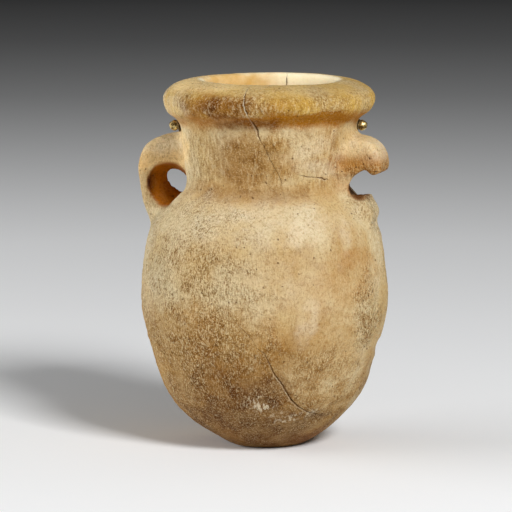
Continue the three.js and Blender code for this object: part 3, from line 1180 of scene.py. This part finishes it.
def weathered_calcite(finish):
    """Banded calcite, carved, once polished, now dull: cloudy cream and honey, earth in its open pores, with
    painted glow, shade and highlights
    """
    material, tree = new_material("weathered_calcite")
    coords = add_node(tree, "ShaderNodeTexCoord", {}, {}).outputs["Object"]
    masks = {
        name: add_node(tree, "ShaderNodeAttribute", {"attribute_name": name}, {}).outputs["Fac"]
        for name in (*PATCHES, "inside", "drilled", "rim")
    }
    crack = add_node(tree, "ShaderNodeAttribute", {"attribute_name": "crack"}, {}).outputs["Vector"]

    # Clouds inside the stone and the grain of its skin: place, scale, detail and roughness of each noise
    drawn = add_node(tree, MAPPING, {}, {"Vector": coords, "Scale": (1, 1, 0.6)})
    clouds = add_node(tree, NOISE, {}, [drawn, per(20), 4, 0.55])
    mottle = add_node(tree, NOISE, {}, [coords, per(6), 5, 0.62])
    worn = add_node(tree, NOISE, {}, [coords, per(12), 4, 0.6])
    grain = add_node(tree, NOISE, {}, [coords, per(1), 3, 0.65])
    fine = add_node(tree, NOISE, {}, [coords, per(0.48), 2, 0.6])

    # Tool marks and scratches: slanted down the body, upright up the neck
    slanted = add_node(tree, MAPPING, {}, {"Vector": coords, "Rotation": (0, SLANT, 0), "Scale": (1, 1, 0.3)})
    upright = add_node(tree, MAPPING, {}, {"Vector": coords, "Scale": (1, 1, 0.22)})
    scratches = add_node(tree, NOISE, {}, [slanted, per(0.5), 2, 0.6])
    flutes = add_node(tree, NOISE, {}, [upright, per(0.95), 2, 0.6])
    flakes = add_node(tree, NOISE, {}, [slanted, per(1.3), 2, 0.5])
    place = add_node(tree, "ShaderNodeSeparateXYZ", {}, [coords])
    upper = add_node(tree, STEP, SMOOTH, [place.outputs["Z"], *NECK_MARKS])
    sideways = add_node(tree, MATHS, SIZE_OF, [place.outputs["X"]])
    between_handles = add_node(tree, STEP, SMOOTH, [sideways, *NECK_SIDES, 1, 0])
    upper = add_node(tree, MATHS, TIMES, [upper, between_handles])
    strokes = add_node(tree, MIX, {}, [upper, scratches, flutes])

    # How rough the skin is: where it is marked so, and all over the rim
    rough_rim = add_node(tree, MATHS, TIMES, [masks["rim"], 0.7])
    marked = add_node(tree, MATHS, HIGHER, [masks["rough"], rough_rim])
    patchy = add_node(tree, STEP, SMOOTH, [worn, 0.36, 0.62, 0.55, 1])
    coarse = add_node(tree, MATHS, TIMES, [marked, patchy])
    coarse = add_node(tree, MATHS, HIGHER, [coarse, 0.2])
    covered = add_node(tree, MATHS, HIGHER, [masks["drilled"], masks["inside"]])
    bare = add_node(tree, STEP, {}, [covered, 0, 1, 1, 0.1])
    coarse = add_node(tree, MATHS, TIMES, [coarse, bare])
    open_skin = add_node(tree, STEP, {}, [masks["inside"], 0, 1, 1, 0.2])

    # The walls of the cord holes where the painted shade is darkest
    outer_wall = add_node(tree, STEP, SMOOTH, [place.outputs["X"], *OUTER_WALL, 1.5, 0])
    broken_wall = add_node(tree, STEP, SMOOTH, [place.outputs["X"], *BROKEN_WALL, 0, 0.8])
    walls = add_node(tree, MATHS, PLUS, [outer_wall, broken_wall])
    painted_wall_shade = add_node(tree, MATHS, TIMES, [masks["drilled"], walls])

    # Layers of colour: kind, mask, pattern, its low and high value with the strength at each, and colour
    layers = [
        (TINT, None, clouds, (0.36, 0.62, 0, 1), finish.cream),
        (TINT, None, mottle, (0.5, 0.7, 0, 0.5), finish.tan),
        # Rim stain, thinner on the rim's top as painted light
        (TINT, masks["rim"], worn, (0.36, 0.64, 0.95, 0.4), finish.varnish),
        # Painted light on the handle tops, the rim's top and the foot
        (TINT, masks["painted_light"], worn, (0.3, 0.7, 1, 0.6), finish.painted_light),
        # Painted glow over the whole inner wall
        (TINT, masks["inside"], mottle, (0.3, 0.7, 1, 0.9), finish.glow),
        (TINT, masks["rust"], mottle, (0.3, 0.6, 0.4, 0.9), finish.rust),
        # Painted amber glow under the rim and round the broken handle
        (TINT, masks["painted_amber_glow"], mottle, (0.3, 0.7, 1, 0.96), finish.painted_amber_glow),
        # Yellow stain and painted shade
        (DARKEN, masks["ochre_and_shade"], mottle, (0.3, 0.7, 0.75, 1), finish.ochre_and_shade),
        # Earth and painted shade
        (DARKEN, masks["soil_and_shade"], mottle, (0.35, 0.65, 0.7, 1), finish.soil_and_shade),
        # Painted shade and glow in the cord holes
        (TINT, masks["drilled"], mottle, (0.3, 0.6, 0.9, 1), finish.drill),
        # Painted shade, darkest on the walls of the cord holes
        (DARKEN, painted_wall_shade, worn, (0.3, 0.5, 0.6, 1), finish.pit),
        # White bloom, and painted highlights on the handle tops
        (TINT, masks["bloom_and_highlight"], worn, (0.4, 0.6, 0.4, 1), finish.bloom_and_highlight),
        (TINT, masks["chips"], flakes, (0.5, 0.56, 0, 0.65), finish.bloom_and_highlight),
        (DARKEN, coarse, fine, (0.32, 0.5, 1, 0), finish.fleck),
        (DARKEN, coarse, strokes, (0.34, 0.5, 0.85, 0), finish.fleck),
        (DARKEN, open_skin, grain, (0.34, 0.5, 0.42, 0), finish.fleck),
        (TINT, coarse, strokes, (0.52, 0.66, 0, 0.5), finish.glint),
        (TINT, coarse, fine, (0.53, 0.66, 0, 0.5), finish.glint),
    ]
    base = solid(finish.honey)
    for settings, mask, pattern, steps, tint in layers:
        share = add_node(tree, STEP, SMOOTH, [pattern, *steps])
        if mask:
            share = add_node(tree, MATHS, TIMES, [mask, share])
        base = add_node(tree, MIX, settings, [share, base, solid(tint)])

    # Pits with earth in them, thicker where the skin is rough
    warp = add_node(tree, NOISE, {}, [coords, per(1.3), 1, 0.5]).outputs["Color"]
    warped = add_node(tree, "ShaderNodeVectorMath", TIMES_PLUS, [warp, (1.2 * MM,) * 3, coords])
    cells = add_node(tree, "ShaderNodeTexVoronoi", {}, {"Vector": warped, "Scale": per(2.2)})
    chosen = add_node(tree, "ShaderNodeSeparateColor", {}, [cells.outputs["Color"]])
    rare = add_node(tree, STEP, {}, [masks["rough"], 0, 1, 0.85, 0.3])
    picked = add_node(tree, MATHS, {"operation": "GREATER_THAN"}, [chosen, rare])
    reach = add_node(tree, STEP, {}, [chosen.outputs["Green"], 0, 1, 0.08, 0.21])
    edge = add_node(tree, MATHS, TIMES, [reach, 0.5])
    pits = add_node(tree, STEP, SMOOTH, [cells.outputs["Distance"], edge, reach, 1, 0])
    pits = add_node(tree, MATHS, TIMES, [pits, picked])
    outside = add_node(tree, STEP, {}, [masks["inside"], 0, 1, 1, 0])
    pits = add_node(tree, MATHS, TIMES, [pits, outside])
    dirt = add_node(tree, MATHS, TIMES, [pits, 0.7])
    base = add_node(tree, MIX, TINT, [dirt, base, solid(finish.pit)])

    # Cracks with ragged edges: a dark line of dirt and painted shade, and a painted highlight on one side of
    # them where a groove's wall would catch the light, clearest on the rim
    parts = add_node(tree, "ShaderNodeSeparateXYZ", {}, [crack])
    ragged = add_node(tree, STEP, SMOOTH, [grain, 0.3, 0.7, -0.12, 0.12])
    signed = add_node(tree, MATHS, PLUS, [parts.outputs["X"], ragged])
    width = add_node(tree, MATHS, HIGHER, [parts.outputs["Y"], 0.01])
    away = add_node(tree, MATHS, SIZE_OF, [signed])
    away = add_node(tree, MATHS, OVER, [away, width])
    line = add_node(tree, STEP, SMOOTH, [away, 0.7, 1.7, 1, 0])
    beside = add_node(tree, MATHS, OVER, [signed, width])
    beside = add_node(tree, MATHS, PLUS, [beside, 2.6])
    beside = add_node(tree, MATHS, SIZE_OF, [beside])
    lip = add_node(tree, STEP, SMOOTH, [beside, 0.5, 1.7, 1, 0])
    shown = add_node(tree, STEP, SMOOTH, [parts.outputs["Y"], 0.05, 0.16, 0, 0.3])
    shown = add_node(tree, MATHS, HIGHER, [shown, masks["rim"]])
    lip = add_node(tree, MATHS, TIMES, [lip, shown])
    # Painted highlight on the lit side of each crack
    pale = add_node(tree, MATHS, TIMES, [lip, 0.6])
    base = add_node(tree, MIX, TINT, [pale, base, solid(finish.bloom_and_highlight)])
    # Dirt and painted shade along each crack
    dark = add_node(tree, MATHS, TIMES, [line, 0.8])
    base = add_node(tree, MIX, TINT, [dark, base, solid(finish.pit)])

    # Relief of grain, tool marks, pits and cracks, the grain faint on the inside
    faint = add_node(tree, STEP, {}, [masks["inside"], 0, 1, 0.6, 0.12])
    relief = add_node(tree, MATHS, TIMES, [grain, faint])
    for pattern, mask, depth in [
        (fine, coarse, 1.5),
        (strokes, coarse, 2.0),
        (mottle, 1, 1.0),
        (pits, 1, -0.9),
        (line, 1, -0.5),
        (lip, 1, 0.4),
    ]:
        masked = add_node(tree, MATHS, TIMES, [pattern, mask])
        relief = add_node(tree, MATHS, TIMES_PLUS, [masked, depth, relief])
    bump = add_node(tree, "ShaderNodeBump", {}, {"Strength": 0.9, "Distance": 0.5 * MM, "Height": relief})
    dull = add_node(tree, STEP, SMOOTH, [mottle, 0.3, 0.7, 0.55, 0.7])
    earthy = add_node(tree, MATHS, HIGHER, [pits, line])
    dull = add_node(tree, MATHS, HIGHER, [dull, earthy])
    stone = add_node(
        tree,
        "ShaderNodeBsdfPrincipled",
        {"subsurface_method": "RANDOM_WALK"},
        {
            "Base Color": base,
            "Roughness": dull,
            "IOR": 1.5,
            "Specular IOR Level": 0.06,
            "Subsurface Weight": 0.08,
            "Subsurface Radius": (3 * MM, 1.6 * MM, 0.8 * MM),
            "Subsurface Scale": 1,
            "Normal": bump,
        },
    )
    add_node(tree, "ShaderNodeOutputMaterial", {}, [stone])
    return material


def worn_gilding(finish):
    """Fire-gilt cast bronze, rubbed thin: warm gold, worn through to dark bronze on the high places"""
    material, tree = new_material("worn_gilt_bronze")
    coords = add_node(tree, "ShaderNodeTexCoord", {}, {}).outputs["Object"]
    wear = add_node(tree, NOISE, {}, [coords, per(1.1), 3, 0.6])
    share = add_node(tree, STEP, SMOOTH, [wear, 0.42, 0.58])
    base = add_node(tree, MIX, TINT, [share, solid(finish.gilt), solid(finish.bronze)])
    rough = add_node(tree, STEP, SMOOTH, [wear, 0.35, 0.65, 0.38, 0.62])
    bump = add_node(tree, "ShaderNodeBump", {}, {"Strength": 0.5, "Distance": 0.15 * MM, "Height": wear})
    inputs = {"Base Color": base, "Metallic": 1, "Roughness": rough, "Normal": bump}
    metal = add_node(tree, "ShaderNodeBsdfPrincipled", {}, inputs)
    add_node(tree, "ShaderNodeOutputMaterial", {}, [metal])
    return material


def tarnished_bronze(finish):
    """Hammered bronze sheet gone brown: dull, with a little bare metal showing on the high spots"""
    material, tree = new_material("tarnished_bronze")
    coords = add_node(tree, "ShaderNodeTexCoord", {}, {}).outputs["Object"]
    wear = add_node(tree, NOISE, {}, [coords, per(0.7), 4, 0.65])
    share = add_node(tree, STEP, SMOOTH, [wear, 0.52, 0.68])
    base = add_node(tree, MIX, TINT, [share, solid(finish.bronze), solid(finish.gilt)])
    bump = add_node(tree, "ShaderNodeBump", {}, {"Strength": 0.6, "Distance": 0.15 * MM, "Height": wear})
    inputs = {"Base Color": base, "Metallic": 0.7, "Roughness": 0.6, "Normal": bump}
    metal = add_node(tree, "ShaderNodeBsdfPrincipled", {}, inputs)
    add_node(tree, "ShaderNodeOutputMaterial", {}, [metal])
    return material


def paper_floor(finish):
    """Matt paper sweep: pale round the vase, and falling away to grey behind it"""
    material, tree = new_material("paper_floor")
    coords = add_node(tree, "ShaderNodeTexCoord", {}, {}).outputs["Object"]
    distance = add_node(tree, "ShaderNodeVectorMath", {"operation": "LENGTH"}, [coords]).outputs["Value"]
    share = add_node(tree, STEP, {}, [distance, 0, FLOOR_REACH])
    tones = add_node(tree, "ShaderNodeValToRGB", {}, [share])
    tones.color_ramp.elements.remove(tones.color_ramp.elements[0])
    for i, (reach, tone) in enumerate(FLOOR_TONES):
        stop = tones.color_ramp.elements.new(reach / FLOOR_REACH) if i else tones.color_ramp.elements[0]
        stop.position = reach / FLOOR_REACH
        stop.color = [channel * tint for channel, tint in zip(linear(tone), solid(finish.floor))]
    inputs = {"Base Color": tones, "Roughness": 0.9, "Specular IOR Level": 0.2}
    paper = add_node(tree, "ShaderNodeBsdfPrincipled", {}, inputs)
    add_node(tree, "ShaderNodeOutputMaterial", {}, [paper])
    return material


def finish_piece(piece, material, slot, *nodes):
    """Gives a piece its material and ties it to the frame"""
    piece.data.materials.clear()
    piece.data.materials.append(material)
    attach(piece, "root")
    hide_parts(*nodes)
    return piece


def stud(s, studs, side):
    """A cast stud from its hammered end inside the neck to its uneven ball outside"""
    turn_steps, arc_steps, dent_size, dent_depth = 32, 12, 1.1 * MM, 0.24 * MM
    height = stud_height(s, studs)
    seat = outline_radius(outer_outline(s, turn_steps), height) + studs.fit_gap
    end = outline_radius(inner_outline(s, turn_steps), height) - 2 * studs.fit_gap - studs.rove_thickness
    ball_radius = studs.ball_radius + studs.ball_swell
    middle = at(0, seat + studs.ball_rise)
    throat = math.acos(studs.shank_radius / ball_radius) / (TURN / 4)
    turns = [-throat + (1 + throat) * i / arc_steps for i in range(arc_steps + 1)]
    peen_turns = [1 - i / arc_steps for i in range(arc_steps)]
    peen = quarter_ellipse(at(0, end), studs.peen_radius, -studs.peen_length, peen_turns)
    ball = quarter_ellipse(middle, ball_radius, ball_radius, turns)
    peen[0].x = 0
    ball[-1].x = 0
    bm = spun([*peen, at(studs.peen_radius, end), at(studs.shank_radius, end), *ball], turn_steps)
    for vert in bm.verts:
        if vert.co.z > middle.z - ball_radius / 2:
            vert.co += (vert.co - middle).normalized() * dent_depth * noise.noise(vert.co / dent_size)
    bmesh.ops.transform(bm, matrix=stud_line(s, studs, side), verts=bm.verts)
    return bm


def washer(s, studs, side, outside):
    """A hammered washer round the shank: the dished one outside the neck or the flat rove inside"""
    turn_steps, dent_size, dent_depth, dish_share = 40, 1.5 * MM, 0.06 * MM, 0.4
    height = stud_height(s, studs)
    if outside:
        outline = outer_outline(s, turn_steps)
        radius, thickness = studs.washer_radius, studs.washer_thickness
        foot = outline_radius(outline, height) + studs.fit_gap
        rise = outline_radius(outline, height + radius) - outline_radius(outline, height - radius)
        slope = math.atan2(rise, 2 * radius)
    else:
        radius, thickness, slope, dish_share = studs.rove_radius, studs.rove_thickness, 0, 1
        foot = outline_radius(inner_outline(s, turn_steps), height) - studs.fit_gap - thickness
    hole = studs.shank_radius + studs.fit_gap
    edge, lip = thickness / 3, thickness / 4
    outline = [
        at(hole, 0),
        at(radius - edge, 0),
        at(radius, edge),
        at(radius, 2 * edge),
        at(radius - lip, thickness),
        at(hole, dish_share * thickness),
        at(hole, 0),
    ]
    bm = spun(outline, turn_steps)
    shift = Vector((side, 5, 0))
    for vert in bm.verts:
        vert.co.x *= 1 + dent_depth / radius * noise.noise(vert.co / dent_size)
        vert.co.z += dent_depth * noise.noise(vert.co / dent_size + shift)
    place = Matrix.Translation((0, 0, foot)) @ Matrix.Rotation(slope, 4, "Y")
    bmesh.ops.transform(bm, matrix=stud_line(s, studs, side) @ place, verts=bm.verts)
    return bm


class VASE_OT_vessel(bpy.types.Operator):
    """Carve the vessel with its handles, cracks and worn skin"""

    bl_idname = "vase.vessel"
    bl_label = "Carve vessel"

    def execute(self, context):
        sizes = context.scene.vase_vessel
        vessel = carved_vessel(sizes, context.scene.vase_studs)
        lines = crack_lines(sizes)
        refine_cracks(vessel, lines)
        weather(sizes, vessel, lines)
        finish_piece(vessel, weathered_calcite(context.scene.vase_finishes), "alabaster", "vase_body")
        return {"FINISHED"}


class VASE_OT_studs(bpy.types.Operator):
    """Set the two studs with their washers and roves"""

    bl_idname = "vase.studs"
    bl_label = "Set studs"

    def execute(self, context):
        sizes = context.scene.vase_vessel
        studs = context.scene.vase_studs
        gilt = worn_gilding(context.scene.vase_finishes)
        dark = tarnished_bronze(context.scene.vase_finishes)
        for name, side in (("left", -1), ("right", 1)):
            ball = keep_mesh(f"{name}_ball_stud", stud(sizes, studs, side))
            finish_piece(ball, gilt, "gilt_bronze", f"{name}_stud")
            outer = keep_mesh(f"{name}_dished_washer", washer(sizes, studs, side, True))
            finish_piece(outer, dark, "dark_bronze", f"{name}_stud_washer")
            inner = keep_mesh(f"{name}_rove", washer(sizes, studs, side, False))
            finish_piece(inner, dark, "dark_bronze", f"{name}_stud_rove")
        return {"FINISHED"}


def direction(azimuth, elevation):
    """Direction from the vase at an azimuth from the front towards +X, and a height above the horizon"""
    flat = math.cos(elevation)
    return Vector((math.sin(azimuth) * flat, -math.cos(azimuth) * flat, math.sin(elevation)))


def soft_lamp(name, azimuth, elevation, distance, size, power, target):
    """A soft lamp of a width and a height that faces the vase"""
    lamp = bpy.data.lights.new(name, "AREA")
    lamp.shape = "RECTANGLE"
    lamp.size, lamp.size_y = size
    lamp.energy = power
    holder = bpy.data.objects.new(name, lamp)
    toward = direction(azimuth, elevation)
    holder.location = target + toward * distance
    holder.rotation_euler = toward.to_track_quat("Z", "Y").to_euler()
    bpy.context.scene.collection.objects.link(holder)


class VASE_OT_stage(bpy.types.Operator):
    """Set up the floor, the lamps and the camera"""

    bl_idname = "vase.stage"
    bl_label = "Set up stage"

    def execute(self, context):
        stage = context.scene.vase_stage
        bm = bmesh.new()
        bmesh.ops.create_grid(bm, x_segments=1, y_segments=1, size=stage.floor_size / 2)
        floor = keep_mesh("floor", bm)
        floor.data.materials.append(paper_floor(context.scene.vase_finishes))

        target = Vector((0, 0, stage.aim_height))
        soft_lamp(
            "key",
            stage.key_azimuth,
            stage.key_elevation,
            stage.key_distance,
            (stage.key_size, stage.key_size),
            stage.key_power,
            target,
        )
        soft_lamp(
            "card",
            stage.card_azimuth,
            stage.card_elevation,
            stage.card_distance,
            (stage.card_width, stage.card_height),
            stage.card_power,
            target,
        )
        world = bpy.data.worlds.new("studio")
        world.use_nodes = True
        world.node_tree.nodes["Background"].inputs["Color"].default_value = (1, 1, 1, 1)
        world.node_tree.nodes["Background"].inputs["Strength"].default_value = stage.sky_strength
        context.scene.world = world

        camera = bpy.data.objects.new("camera", bpy.data.cameras.new("camera"))
        camera.data.lens = stage.lens
        camera.data.clip_end = stage.floor_size
        toward = direction(stage.camera_azimuth, stage.camera_elevation)
        sideways = Vector((math.cos(stage.camera_azimuth), math.sin(stage.camera_azimuth), 0))
        aim = target - sideways * stage.aim_side
        camera.location = aim + toward * stage.camera_distance
        camera.rotation_euler = toward.to_track_quat("Z", "Y").to_euler()
        context.scene.collection.objects.link(camera)
        context.scene.camera = camera
        context.scene.view_settings.view_transform = "Standard"
        return {"FINISHED"}


class VASE_PT_panel(bpy.types.Panel):
    """Steps and sizes of the vase"""

    bl_idname = "VASE_PT_panel"
    bl_label = "Stone vase"
    bl_space_type = "VIEW_3D"
    bl_region_type = "UI"
    bl_category = "Vase"

    def draw(self, context):
        for operator in OPERATORS:
            self.layout.operator(operator.bl_idname)
        for name in GROUPS:
            group = getattr(context.scene, name)
            box = self.layout.box()
            for prop in group.bl_rna.properties:
                if prop.identifier in group.__annotations__:
                    box.prop(group, prop.identifier)


OPERATORS = (VASE_OT_vessel, VASE_OT_studs, VASE_OT_stage)
GROUPS = {
    "vase_vessel": VesselSizes,
    "vase_studs": StudSizes,
    "vase_finishes": Finishes,
    "vase_stage": StageSizes,
}


def register():
    for group in GROUPS.values():
        bpy.utils.register_class(group)
    for name, group in GROUPS.items():
        setattr(bpy.types.Scene, name, PointerProperty(type=group))
    for operator in OPERATORS:
        bpy.utils.register_class(operator)
    bpy.utils.register_class(VASE_PT_panel)


def unregister():
    bpy.utils.unregister_class(VASE_PT_panel)
    for operator in OPERATORS:
        bpy.utils.unregister_class(operator)
    for name, group in GROUPS.items():
        delattr(bpy.types.Scene, name)
        bpy.utils.unregister_class(group)


def main():
    register()
    bpy.ops.vase.vessel()
    bpy.ops.vase.studs()
    bpy.ops.vase.stage()


if __name__ == "__main__":
    main()
